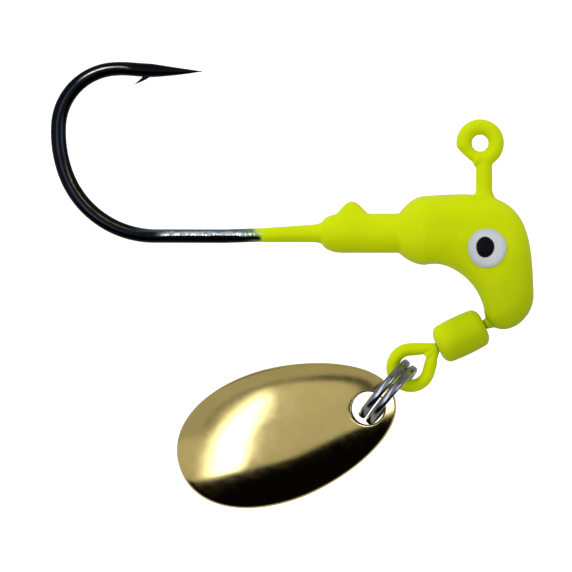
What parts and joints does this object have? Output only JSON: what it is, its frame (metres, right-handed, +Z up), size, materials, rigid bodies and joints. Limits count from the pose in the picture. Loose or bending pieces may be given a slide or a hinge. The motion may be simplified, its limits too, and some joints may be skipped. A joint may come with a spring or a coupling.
{
  "type": "spinnerbait",
  "caption": "Painted lead-head jig hook with a line-tie eye, and a cupped blade hung under its chin on a barrel swivel and split ring.",
  "frame": {"origin": "centre of the line-tie eye's opening", "axes": "+Z up along the line-tie stem, +X towards the nose of the head, +Y to the lure's left side"},
  "size_m": [0.0362, 0.0056, 0.0336],
  "materials": {
    "hook_wire": "polished",
    "lead": "satin",
    "chartreuse_paint": "gloss",
    "eye_white_paint": "gloss",
    "eye_black_paint": "gloss",
    "swivel_steel": "satin",
    "ring_nickel": "polished",
    "gold_plate": "polished"
  },
  "bodies": {
    "jig": {"jig_hook": "hook_wire", "head_casting": "lead", "head_paint_coat": "chartreuse_paint", "line_tie_paint": "chartreuse_paint", "shank_paint": "chartreuse_paint", "eye_white_right": "eye_white_paint", "eye_white_left": "eye_white_paint", "eye_pupil_right": "eye_black_paint", "eye_pupil_left": "eye_black_paint", "swivel_anchor_eye": "swivel_steel"},
    "barrel": {"swivel_barrel": "swivel_steel", "barrel_paint": "chartreuse_paint"},
    "blade_eye": {"swivel_blade_eye": "swivel_steel", "blade_eye_paint": "chartreuse_paint"},
    "ring": {"split_ring": "ring_nickel"},
    "blade": {"spinner_blade": "gold_plate"}
  },
  "joints": [
    {"name": "barrel_spin", "type": "hinge", "parent": "jig", "child": "barrel", "pos_m": [-0.00144, 0, -0.01446], "axis": [0.9026, 0, 0.4305], "continuous": true},
    {"name": "eye_spin", "type": "hinge", "parent": "barrel", "child": "blade_eye", "pos_m": [-0.00144, 0, -0.01446], "axis": [0.9026, 0, 0.4305], "continuous": true},
    {"name": "ring_swing", "type": "hinge", "parent": "blade_eye", "child": "ring", "pos_m": [-0.00608, 0, -0.01789], "axis": [0.766, 0, -0.6428], "range_deg": [-36, 42]},
    {"name": "blade_swing", "type": "hinge", "parent": "ring", "child": "blade", "pos_m": [-0.00836, 0.00122, -0.01993], "axis": [0, -1, 0], "range_deg": [-42, 78]}
  ]
}
